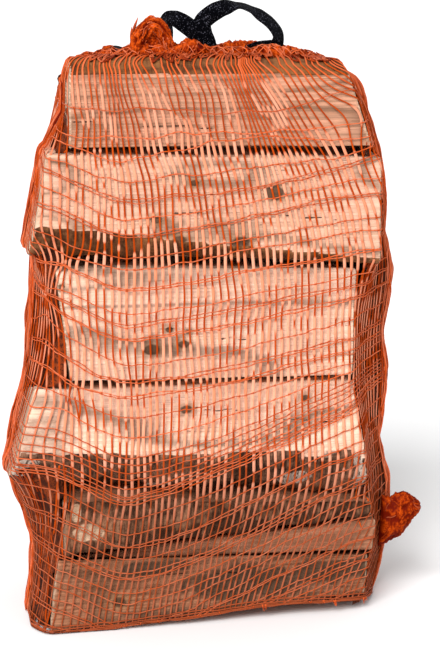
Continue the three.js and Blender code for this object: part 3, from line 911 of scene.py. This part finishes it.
def tape_path(number):
    """Noise places along a tape, and its distances round the bag and up it, from foot to mouth."""
    place = number * tape_pitch
    rings = 210 if place < 0.57 * girth else 110
    foot_height = foot_at(place + tape_drift(np.array([place]), np.array([0.0])))[0]
    up = np.linspace(foot_height, net_top - 0.0005, rings)
    along = own_places(number, up)
    jitter = 0.0005 * smooth_noise(along * [7.3, 50, 1], 301)
    around = place + tape_drift(np.full(rings, place), up) + jitter
    gather = ease(up, 0.486, net_top - 0.004)
    clump = (0.0028 * np.sin(2 * np.pi * 44 * around / girth
                             + 2.5 * noise_round(around, up * 0, 0.04, 1, 311))
             + 0.005 * noise_round(around, up * 0, 0.02, 1, 312))
    return along, *caught(around - gather * clump, up)


def tape(number):
    """A tape lies flat, or is creased into a narrow dash. Low on the bag and beside its seams all are
    half creased, and over the top log most are creased right up. Low down they are darkened with
    painted shade, and over the top of the bag many are made paler and lighter as painted light."""
    along, around, up = tape_path(number)
    line, normal = on_skin(around, up)
    twist = smooth_noise(along * [0.42, 95, 1] + [0, 0, 3], 302)
    twist += 0.5 * smooth_noise(along * [1.7, 36, 1] + [0, 0, 5], 303)
    low = 1 - ease(up, 0.085, 0.135)
    painted_dim = 1 - ease(up, 0.115, 0.175)
    off_seam = np.minimum(np.abs((around + girth / 2) % girth - girth / 2),
                          np.abs(around - right_place))
    beside = 1 - ease(off_seam, 0.045, 0.085)
    middle = np.exp(-((line[:, 0] - 0.025) / 0.055) ** 2)
    high = ease(up, 0.42, 0.45) * (1 - 0.75 * middle * (1 - ease(up, 0.455, 0.475)))
    fold = ease(twist + 0.62 * high, 0.06, 0.20)
    fold = np.maximum(fold * (1 - low) + (0.68 + 0.3 * fold) * low, ease(up, 0.48, 0.497))
    fold = np.maximum(fold, (0.55 + 0.3 * twist) * beside).clip(0, 1)
    on_top = ease(up, 0.478, 0.492)
    loose = 0.5 + 0.5 * math.sin(number * 2.4) * math.sin(number * 0.7)
    narrowed = 0.0011 * fold + 0.0003 * low + 0.0005 * beside + 0.0003 * ease(up, 0.42, 0.47)
    # Painted shade low on the bag, and a little high on the front below its top.
    dull = 0.85 * painted_dim + 0.2 * ease(up, 0.42, 0.45) * (1 - on_top)
    shade = random.uniform(0, 1, 1) * (1 - 0.5 * fold)
    # Painted light: over the top of the bag the tapes, which face up, get a high shade and less fold,
    # so they are lighter.
    return strand(line, normal, tape_width - narrowed + 0.0003 * on_top * loose,
                  tape_thickness + 0.0004 * fold, fold=fold * (1 - 0.2 * on_top * loose),
                  dull=dull, shade=np.maximum(shade, (0.5 + 0.5 * loose) * on_top))


tapes = [tape(number) for number in range(tape_count)]
front_tapes = strands_mesh("net_tapes_1", tapes[:tape_count // 2], net_film)
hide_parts("net_bag")
net_piece(front_tapes)
net_piece(strands_mesh("net_tapes_2", tapes[tape_count // 2:], net_film))

thread_levels, level = [], -0.095
while level < 0.452:
    spacing = 0.0103 + 0.0047 * ease(level, 0.13, 0.2) + 0.002 * ease(level, 0.42, 0.45)
    level += spacing * random.uniform(0.55, 1.45)
    thread_levels.append((level, random.random() < 0.2 + 0.2 * ease(level, 0.12, 0.2)))
# A thread has more points over the front of the bag than over its back.
once_round = np.concatenate([np.linspace(0, 0.56 * girth, 440, endpoint=False),
                             np.linspace(0.56 * girth, girth, 100)])


def thread(number, level, which):
    """The stretches above the foot of one thread round the bag. It is knotted where it crosses a
    tape, and the second thread of a pair runs just above the first."""
    own = own_places(once_round, number * 5.1 + which * 2.3)
    up = level + thread_drift(once_round, np.full(len(once_round), level))
    up = up + 0.0010 * smooth_noise(own * [83, 1, 1], 304)
    up = up + 0.0005 * smooth_noise(own * [220, 1, 1], 308)
    up = up + which * (0.0023 + 0.0009 * smooth_noise(own * [42, 1, 1], 305))
    place = once_round
    for _ in range(5):
        place = once_round - tape_drift(place, up)
    crossing = place / tape_pitch
    knot = np.exp(-((crossing - np.round(crossing)) * tape_pitch / thread_width) ** 2)
    around, up = caught(once_round, up)
    line, normal = on_skin(around, np.clip(up, 0.0005, net_top))
    line = line + normal * 0.0004
    width = thread_width + 0.00015 * smooth_noise(own * [160, 1, 1], 306) + 0.0005 * knot
    fold = np.maximum(0.8 + 0.2 * smooth_noise(own * [120, 1, 1], 307), knot)
    # Painted shade: threads low on the bag are dimmed.
    dull = 0.5 * (1 - ease(up, 0.10, 0.165))
    shade = random.uniform(0.1, 1) * (1 - 0.8 * knot)
    return [strand(line[part], normal[part], width[part], thread_thickness, fold=fold[part],
                   dull=dull[part], shade=shade[part])
            for part in stretches(up > foot_at(around) + 0.0005, 8)]


threads = []
for number, (level, paired) in enumerate(thread_levels):
    for which in range(2 if paired else 1):
        threads += thread(number, level, which)
for part in range(2):
    net_piece(strands_mesh(f"net_threads_{part + 1}", threads[part::2], net_film))


# ---------------------------------------------------------------------------------------------
# Net bag: side seams. The net's front and back are rolled together at their edges and stitched, so
# each seam is a dense rope of strands down the bag's side, round a core coloured dark as painted
# shade.

seam_strand_count = 46


def seam_strands(seam_place, seed):
    """The strands of a seam, which wander to and fro over its core, and the core."""
    up = np.linspace(0.0, net_top - 0.03, 190)
    strands = []
    own_random = np.random.default_rng(seed)
    for number in range(seam_strand_count):
        side = own_random.uniform(-0.010, 0.010)
        along = own_places(number * 3.7, up / 0.028)
        wander = 0.0042 * smooth_noise(along, seed) + 0.0014 * smooth_noise(along * [1, 4, 1], seed)
        out = 0.0016 + 0.0022 * smooth_noise(along + 9, seed + 1) - 0.12 * abs(side)
        line, normal = on_skin(seam_place + (side + wander), up)
        strands.append(strand(
            line + normal * np.maximum(out, 0.0003)[:, None], normal,
            0.0014 + 0.0006 * smooth_noise(along * [1, 3, 1] + 4, seed), 0.0008,
            fold=0.8 + 0.3 * smooth_noise(along * [1, 2, 1], seed + 3),
            shade=own_random.uniform(-0.3, 1.0)))
    # The core is a dark tube, painted shade inside the rope.
    line, normal = on_skin(seam_place + 0 * up, up)
    return [*strands, strand(line, normal, 0.010, 0.003, fold=1.0, shade=-0.9)]


net_piece(strands_mesh("net_side_seams", seam_strands(0.0, 401) + seam_strands(right_place, 411),
                       net_film))


# ---------------------------------------------------------------------------------------------
# Net bag: spare net at the sides. The bag is wider than the logs, and what is left over is folded in
# along both seams, between the skin and the logs' ends: a crumpled sheet, and strands over it. The
# sheet is coloured mostly with painted shade, and some strands are darkened with it.

def room_at(around, up):
    """How far the wood is behind the skin, at a place on it."""
    i = columns_at(around).astype(int) % skin_columns
    j = np.interp(up, rise_way, np.arange(len(rise_way))).astype(int)
    return room[np.minimum(j, len(rise_way) - 1), i]


def lining(name, seam_place, seed):
    """The crumpled sheet behind the skin at one side, wherever there is room for it."""
    rows, count = 230, 80
    up = np.linspace(0.003, net_top - 0.03, rows)[:, None] + np.zeros(count)
    side = np.linspace(-0.09, 0.09, count)
    around = seam_place + side + up * 0
    line, normal = on_skin(around, up)
    spare = room_at(around, up)
    places = np.stack([around / 0.011, up / 0.028, around * 0], axis=-1).reshape(-1, 3)
    places[:, 0] += 0.8 * smooth_noise(places * 0.7, seed + 3)
    crease = ridged(places, seed).reshape(rows, count)
    small = ridged(places * [3, 4, 1], seed + 1).reshape(rows, count)
    depth_in = np.clip(spare - 0.0035, 0, 0.009) * 0.75
    depth_in = depth_in - 0.0012 * crease * ease(spare, 0.003, 0.008)
    depth_in = depth_in * ease(np.abs(side), 0.008, 0.034)
    points = line - normal * np.maximum(depth_in, 0.0008)[..., None]
    points[..., 2] = np.maximum(points[..., 2], 0.003)
    kept = spare > 0.0032 + 0.009 * ease(np.abs(side), 0.05, 0.07)
    kept = kept & (np.abs(side) < 0.066 + 0.03 * ease(up, 0.43, 0.44))
    kept = kept[:-1, :-1] & kept[:-1, 1:] & kept[1:, :-1] & kept[1:, 1:]
    index = np.arange(rows * count).reshape(rows, count)
    faces = np.stack([index[:-1, :-1], index[:-1, 1:], index[1:, 1:], index[1:, :-1]], axis=-1)[kept]
    used, faces = np.unique(faces, return_inverse=True)
    mesh = bpy.data.meshes.new(name)
    mesh.from_pydata(points.reshape(-1, 3)[used].tolist(), [], faces.reshape(-1, 4).tolist())
    # Painted shade: the sheet's shade is mostly below zero, and it is dimmed and holed, so it is dark.
    shade = np.clip(0.9 * crease + 0.7 * small - 1.15, -1, 0.8).ravel()[used]
    same = np.ones(len(shade))
    carry(mesh, dict(fold=same, holes=0.9 * same, dull=0.8 * same, shade=shade))
    mesh.polygons.foreach_set("use_smooth", np.ones(len(mesh.polygons), bool))
    piece = place_piece(name, mesh, net_film)
    bpy.context.view_layer.objects.active = piece
    thicken = piece.modifiers.new("film", "SOLIDIFY")
    thicken.thickness = 0.0005
    thicken.offset = -1
    bpy.ops.object.modifier_apply(modifier=thicken.name)
    return piece


def folded_in(seam_place, seed, count):
    """Strands that run up and down over the lining at one side, wherever there is room."""
    own_random = np.random.default_rng(seed)
    strands = []
    for number in range(count):
        low_end = own_random.uniform(-0.02, 0.42)
        rise = own_random.uniform(0.08, 0.3)
        side = own_random.uniform(-0.062, 0.062)
        lean = own_random.uniform(-0.2, 0.2)
        up = np.clip(np.linspace(low_end, low_end + rise, 90), 0.001, net_top - 0.02)
        along = own_places(number * 2.9, up / 0.05)
        around = seam_place + side + 0.012 * smooth_noise(along, seed) + lean * (up - low_end)
        line, normal = on_skin(around, up)
        spare = room_at(around, up)
        share = own_random.uniform(0.05, 0.6)
        line = line - normal * (np.clip(spare - 0.0012, 0, 0.012) * share)[:, None]
        line[:, 2] = np.maximum(line[:, 2], 0.0015 + foot_at(around) * (line[:, 1] < -0.05))
        width = own_random.uniform(0.0008, 0.0018)
        # Painted shade: strands with a shade below zero are darkened.
        shade = own_random.uniform(-0.6, 0.8)
        for part in stretches((spare > 0.003) & (np.gradient(up) > 1e-6), 6):
            strands.append(strand(line[part], normal[part], width, 0.0005, fold=1.0, shade=shade))
    return strands


net_piece(lining("net_left_lining", 0.0, 431))
net_piece(lining("net_right_lining", right_place, 441))
net_piece(strands_mesh("net_side_folds", folded_in(0.0, 432, 95) + folded_in(right_place, 442, 110),
                       net_film))


# ---------------------------------------------------------------------------------------------
# Net bag: base. Under the logs the tapes run to the bottom seam, which lies along the middle of the
# base between a few threads, and the slack is rolled up along the foot.

# Painted shade: the tapes under the logs and the threads along the foot are dimmed.
base_strands = []
tape_feet = np.arange(tape_count) * tape_pitch
tape_feet = tape_feet + tape_drift(tape_feet, np.zeros(tape_count))
feet, _ = on_skin(tape_feet, foot_at(tape_feet))
for number, edge in enumerate(feet):
    share = np.linspace(0, 1, 16)
    line = edge + share[:, None] * (np.array([edge[0] * 0.94, 0, 0]) - edge)
    line[:, 2] = 0.0016 - 0.0006 * share + (edge[2] - 0.0015) * (1 - share) ** 3
    facing = [1.0, 0, 0] if abs(edge[1]) > 0.03 else [0, 1.0, 0]
    base_strands.append(dict(line=line, across=np.tile(facing, (16, 1)), width=0.0017, thick=0.0003,
                             values=dict(fold=0.3 + 0.5 * (number % 3 == 0), dull=0.7, shade=0.5)))

around = np.linspace(0, girth, 420)
for number, raised in enumerate((0.0002, 0.0009, 0.0017, 0.0036, 0.0062)):
    along = own_places(around / 0.012, number * 7.7)
    level = foot_at(around) + raised + 0.0007 * smooth_noise(along, 451)
    line, normal = on_skin(around, np.maximum(level, 0.0004))
    base_strands.append(dict(line=line + normal * 0.0006, across=np.tile([0, 0, 1.0], (420, 1)),
                             width=0.0009, thick=0.0008,
                             values=dict(fold=0.9, dull=0.7, shade=0.5 * smooth_noise(along, 452))))
for y in (-0.044, -0.022, -0.003, 0.0, 0.003, 0.022, 0.044, 0.066):
    x = np.linspace(-0.145, 0.14, 60)
    line = np.column_stack([x, y + 0.001 * np.sin(x * 90), np.full(60, 0.0022)])
    base_strands.append(dict(line=line, across=np.tile([0, 1.0, 0], (60, 1)),
                             width=0.001 if y else 0.004, thick=0.0005,
                             values=dict(fold=0.8, shade=0.4)))
net_piece(strands_mesh("net_base", base_strands, net_film))


# ---------------------------------------------------------------------------------------------
# Net bag: hem. The mouth is turned over the drawstring, sewn, and drawn up into a crumpled roll,
# which thins out towards both ends. Slack loops of the net hang from it over the top log.

def crumpled(name, grid, outward, places, folds, seed, gloom, closed_ends):
    """A closed skin of a grid of points round and along, pushed in and out into creases, and darkened
    in them with painted shade, the more the larger gloom is.
    """
    rows, count = grid.shape[:2]
    crease = ridged(places.reshape(-1, 3), seed)
    small = ridged(places.reshape(-1, 3) * 2.7 + 5, seed + 1)
    grain = smooth_noise(grid.reshape(-1, 3) / 0.0014, seed + 2)
    rise = folds * (crease + 0.45 * small) + 0.0006 * grain
    points = grid.reshape(-1, 3) + outward.reshape(-1, 3) * rise[:, None]
    # Painted shade: the colour is brightest on the ridges and dark in the creases, and gloom darkens
    # it all.
    shade = np.clip(1.4 * crease + 0.6 * small + 0.8 * grain - gloom, -1, 1)
    index = np.arange(rows * count).reshape(rows, count)
    if closed_ends:
        below, above = index[:-1], index[1:]
    else:
        below, above = index, np.roll(index, -1, axis=0)
    right_below, right_above = np.roll(below, -1, axis=1), np.roll(above, -1, axis=1)
    faces = np.stack([below, right_below, right_above, above], axis=-1).reshape(-1, 4).tolist()
    if closed_ends:
        faces += [index[0, ::-1].tolist(), index[-1].tolist()]
    mesh = bpy.data.meshes.new(name)
    mesh.from_pydata(points.tolist(), [], faces)
    same = np.ones(len(shade))
    carry(mesh, dict(fold=same, holes=0.7 * same, shade=shade))
    mesh.polygons.foreach_set("use_smooth", np.ones(len(mesh.polygons), bool))
    return place_piece(name, mesh, net_film)


def laid_on(piece, routes, seed, shades, width=0.0008, lift=0.0003):
    """Strands that lie on a crumpled skin along routes of points near it."""
    tree = BVHTree.FromObject(piece, bpy.context.evaluated_depsgraph_get())
    strands = []
    own_random = np.random.default_rng(seed)
    for route in routes:
        line, normal = [], []
        for point in route:
            place, facing, _, _ = tree.find_nearest(Vector(point))
            line.append(place + facing * lift)
            normal.append(facing)
        line, normal = np.array(line), np.array(normal)
        line[1:-1] = line[1:-1] / 2 + (line[:-2] + line[2:]) / 4
        strands.append(strand(line, normal, width * own_random.uniform(0.7, 1.4), 0.0005,
                              fold=own_random.uniform(0.6, 1), shade=own_random.uniform(*shades)))
    return strands


hem_steps, hem_round = 640, 36
hem_ring, hem_out = rounded_ring(0.1035, 0.006, 0.0105, (0.004, -0.0120), np.ones(hem_steps))
ring_points = np.column_stack([hem_ring, np.interp(hem_ring[:, 0], *hem_outline.T) - 0.0022])
hem_size = np.interp(hem_ring[:, 0], [-0.112, -0.09, -0.06, 0.06, 0.085, 0.12],
                     [0.0035, 0.0065, 0.0070, 0.0066, 0.0052, 0.002])
hem_size = hem_size * (1 + 0.45 * smooth_noise(ring_points / 0.014, 501))
ring_points[:, 2] += 0.4 * hem_size * smooth_noise(ring_points / 0.017, 502)
ring_points[:, :2] += hem_out * (0.002 * smooth_noise(ring_points / 0.011, 505))[:, None]
turn = np.linspace(0, 2 * np.pi, hem_round, endpoint=False)
level_out = np.column_stack([hem_out, 0 * hem_size])
upright = np.array([0, 0, 1.0])
hem_way = np.cos(turn)[None, :, None] * level_out[:, None] + np.sin(turn)[None, :, None] * upright
hem_grid = ring_points[:, None] + hem_way * hem_size[:, None, None]
pleats = hem_grid * 0
pleats[..., 0] = (np.arange(hem_steps) * 0.78 / 4.2)[:, None] + 0.9 * np.sin(turn * 2)[None]
pleats[..., 1] = np.cos(turn)[None] * 0.9
pleats[..., 2] = np.sin(turn)[None] * 0.9
pleats[..., 0] += smooth_noise(hem_grid.reshape(-1, 3) / 0.008, 506).reshape(hem_steps, hem_round)
hem_roll = crumpled("net_hem", hem_grid[:, ::-1], hem_way[:, ::-1], pleats[:, ::-1], 0.0029, 503,
                    1.15, closed_ends=False)
net_piece(hem_roll)
hem_routes = []
for number in range(200):
    at = (number * hem_steps // 200 + random.integers(-2, 3)) % hem_steps
    slide = random.uniform(-14, 14)
    span = np.linspace(random.uniform(-2.2, -1.0), random.uniform(1.0, 2.4), 24)
    steps = (at + slide * (span + 1)).astype(int) % hem_steps
    hem_routes.append(ring_points[steps] + 0.010 * (np.cos(span)[:, None] * level_out[steps]
                                                    + np.sin(span)[:, None] * upright))
extra_strands = laid_on(hem_roll, hem_routes, 504, (-0.4, 1.1))
for number in range(110):
    middle = random.choice([0.10, 0.15, 0.165, 0.18, 0.235, 0.25, 0.29, 0.31, 0.33])
    middle += random.normal(0, 0.008)
    half, drop = random.uniform(0.001, 0.008), random.uniform(0.010, 0.034)
    share = np.linspace(-1, 1, 24)
    along = own_places(share * 3.5, number * 3.3)
    around = middle + half * share + 0.0035 * smooth_noise(along, 521)
    up = net_top - 0.002 - drop * (1 - np.abs(share) ** 2.5) + 0.003 * smooth_noise(along + 7, 521)
    line, normal = on_skin(around, up)
    slack_loop = strand(line, normal, random.uniform(0.0008, 0.0018), 0.0007,
                        fold=random.uniform(0.7, 1), shade=random.uniform(-0.9, 0.6))
    slack_loop["line"] = line + normal * 0.001
    extra_strands.append(slack_loop)


# ---------------------------------------------------------------------------------------------
# Net bag: bunch and corner. Beside the drawstring the hem's ends are tied up in a bunch, a thick
# fold over a hollow. The bag's slack corner sticks out at the right, drawn out of the side seam.

def puff(name, one_edge, other_edge, depth_out, thickness, crease, seed, gloom, shades):
    """A crumpled cushion of net between two outlines, given as x, z points in millimetres, with
    its creases along it. depth_out is its middle's place front to back."""
    rows, count = 72, 60
    share = np.linspace(0, 1, rows)
    edges = []
    for edge in (one_edge, other_edge):
        edge = np.array(edge) / 1000
        knots = np.linspace(0, 1, len(edge))
        smooth = np.stack([np.interp(share, knots, edge[:, k]) for k in range(2)], axis=1)
        for _ in range(30):
            smooth[1:-1] = smooth[1:-1] / 2 + (smooth[:-2] + smooth[2:]) / 4
        edges.append(smooth)
    middle, half = (edges[0] + edges[1]) / 2, (edges[0] - edges[1]) / 2
    closing = np.sqrt(np.clip(1 - (2 * share - 1) ** 6, 0.02, 1))
    turn = np.linspace(0, 2 * np.pi, count, endpoint=False)
    deep = thickness * closing
    grid = np.zeros((rows, count, 3))
    grid[..., 0] = middle[:, :1] + np.cos(turn) * half[:, :1]
    grid[..., 2] = middle[:, 1:] + np.cos(turn) * half[:, 1:]
    grid[..., 1] = depth_out - np.sin(turn) * deep[:, None]
    outward = np.zeros_like(grid)
    across = unit(half)
    outward[..., 0] = np.cos(turn) * across[:, :1]
    outward[..., 2] = np.cos(turn) * across[:, 1:]
    outward[..., 1] = -np.sin(turn)
    length = np.concatenate([[0], np.cumsum(np.linalg.norm(np.diff(middle, axis=0), axis=1))])
    places = np.stack([np.tile(length[:, None] / 0.012, (1, count)),
                       np.tile(crease * np.cos(turn), (rows, 1)),
                       np.tile(crease * np.sin(turn), (rows, 1))], axis=-1)
    places[..., 1] += 0.7 * smooth_noise(grid.reshape(-1, 3) / 0.009, seed + 5).reshape(rows, count)
    facing = np.cross(grid[1, 0] - grid[0, 0], grid[0, 1] - grid[0, 0]) @ outward[0, 0]
    order = slice(None, None, 1 if facing < 0 else -1)
    piece = crumpled(name, grid[:, order], outward[:, order], places[:, order], 0.0019, seed, gloom,
                     closed_ends=True)
    routes = []
    for _ in range(50):
        first, length = random.uniform(0, rows - 8), random.uniform(5, 16)
        steps = np.linspace(first, first + length, 12).clip(0, rows - 1).astype(int)
        turns = (random.uniform(0, count) + np.linspace(0, random.uniform(-9, 9), 12)).astype(int)
        routes.append(grid[steps, turns % count])
    return piece, laid_on(piece, routes, seed + 7, shades)


puffs = [
    ("net_gather_fold",
     [(-68, 507), (-68, 519), (-65, 529), (-58, 537), (-50, 540), (-42, 538), (-36, 530), (-33, 521),
      (-28, 509)],
     [(-58, 506), (-57, 515), (-55, 521), (-52, 525), (-48, 527), (-45, 525), (-43, 520), (-41, 514),
      (-38, 506)], -0.027, 0.0065, 2.2, 511, 0.8, (-0.5, 1)),
    ("net_gather_inside",
     [(-62, 500), (-62, 510), (-60, 520), (-52, 530)],
     [(-35, 500), (-37, 510), (-40, 520), (-46, 530)], -0.0225, 0.0055, 2.6, 515, 1.3, (-0.6, 1)),
    ("net_gather_skirt",
     [(-94, 502), (-84, 509), (-74, 514), (-64, 518)],
     [(-20, 504), (-26, 510), (-32, 514), (-40, 517)], -0.0245, 0.0068, 3.0, 517, 0.9, (-0.5, 1)),
    ("net_corner_ear",
     [(162, 97), (170, 96), (176, 99), (182, 102), (188, 100), (194, 94), (198, 90)],
     [(159, 50), (168, 55), (178, 59), (185, 67), (191, 76), (196, 83), (198, 87)],
     -0.038, 0.0085, 2.4, 521, 1.6, (-1, -0.1)),
]
for name, *shape in puffs:
    piece, strands = puff(name, *shape)
    net_piece(piece)
    extra_strands += strands


# ---------------------------------------------------------------------------------------------
# Net bag: loose ends. A torn tip stands up beside the bunch, and cut ends of thread hang out along
# the bottom seam, longest in three tufts. They share a mesh with the strands on the hem and bunch.

def whisker(points, width, seed):
    """A loose end through some points, which tapers to its tip."""
    share = np.linspace(0, 1, 14)
    knots = np.linspace(0, 1, len(points))
    line = np.stack([np.interp(share, knots, np.array(points)[:, k]) for k in range(3)], axis=1)
    place = own_places(share * 3, seed * 3.3)
    line[:, 0] += 0.0005 * smooth_noise(place, 601) * share
    return dict(line=line, across=np.tile([1.0, 0.2, 0.1], (14, 1)),
                width=width * (1.05 - share ** 2), thick=0.0006,
                values=dict(fold=0.9, shade=0.2 + 0.5 * np.sin(share * 9)))


extra_strands += [
    whisker([(-0.066, -0.024, 0.514), (-0.0675, -0.025, 0.525), (-0.0645, -0.026, 0.534),
             (-0.062, -0.026, 0.540)], 0.0035, 1),
    whisker([(-0.066, -0.023, 0.512), (-0.068, -0.025, 0.522), (-0.068, -0.026, 0.532)], 0.003, 2)]
tufts = [0.043, 0.110, 0.132]
for number in range(32):
    if number < 12:
        x = tufts[number % 3] + random.uniform(-0.002, 0.002)
    else:
        x = random.uniform(-0.15, 0.14)
    around = np.interp([x], middle_ring[:right_column, 0], ring_way[:right_column])
    line, normal = on_skin(around, foot_at(around) + 0.002)
    start = line[0] + normal[0] * 0.0008
    drop = random.uniform(0.003, 0.006) if number < 12 else random.uniform(0.001, 0.0025)
    end = start + np.array([random.uniform(-0.002, 0.002), -0.0015, -drop])
    end[2] = max(end[2], 0.0004)
    extra_strands.append(whisker([start, end], 0.0011 if number < 12 else 0.0007, number + 3))

net_piece(strands_mesh("net_loose_strands", extra_strands, net_film))


# ---------------------------------------------------------------------------------------------
# Floor and light. A plain white floor under an even white sky, with one large soft key light from
# the upper left in front.

bpy.ops.mesh.primitive_plane_add(size=60, location=(0, 0, -0.0005))
floor = bpy.context.object
floor.name = "floor"
white = Finish("studio_white")
floor.data.materials.append(white.surface({"Base Color": (0.9, 0.9, 0.9, 1), "Roughness": 0.9}))
floor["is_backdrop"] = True


def soft_sun(name, place, strength, spread):
    """A lamp that shines from a place towards the bundle, with a spread in degrees."""
    data = bpy.data.lights.new(name, "SUN")
    data.energy = strength
    data.angle = math.radians(spread)
    lamp = bpy.data.objects.new(name, data)
    lamp.location = place
    lamp.rotation_mode = "QUATERNION"
    lamp.rotation_quaternion = (-Vector(place)).to_track_quat("-Z", "Y")
    bpy.context.scene.collection.objects.link(lamp)


soft_sun("key", (-1.1, -1.9, 1.7), 3.3, 28)
world = bpy.data.worlds.new("studio")
world.use_nodes = True
world.node_tree.nodes["Background"].inputs["Color"].default_value = (1, 1, 1, 1)
world.node_tree.nodes["Background"].inputs["Strength"].default_value = 0.72
bpy.context.scene.world = world
bpy.context.scene.view_settings.view_transform = "Standard"


low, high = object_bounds()
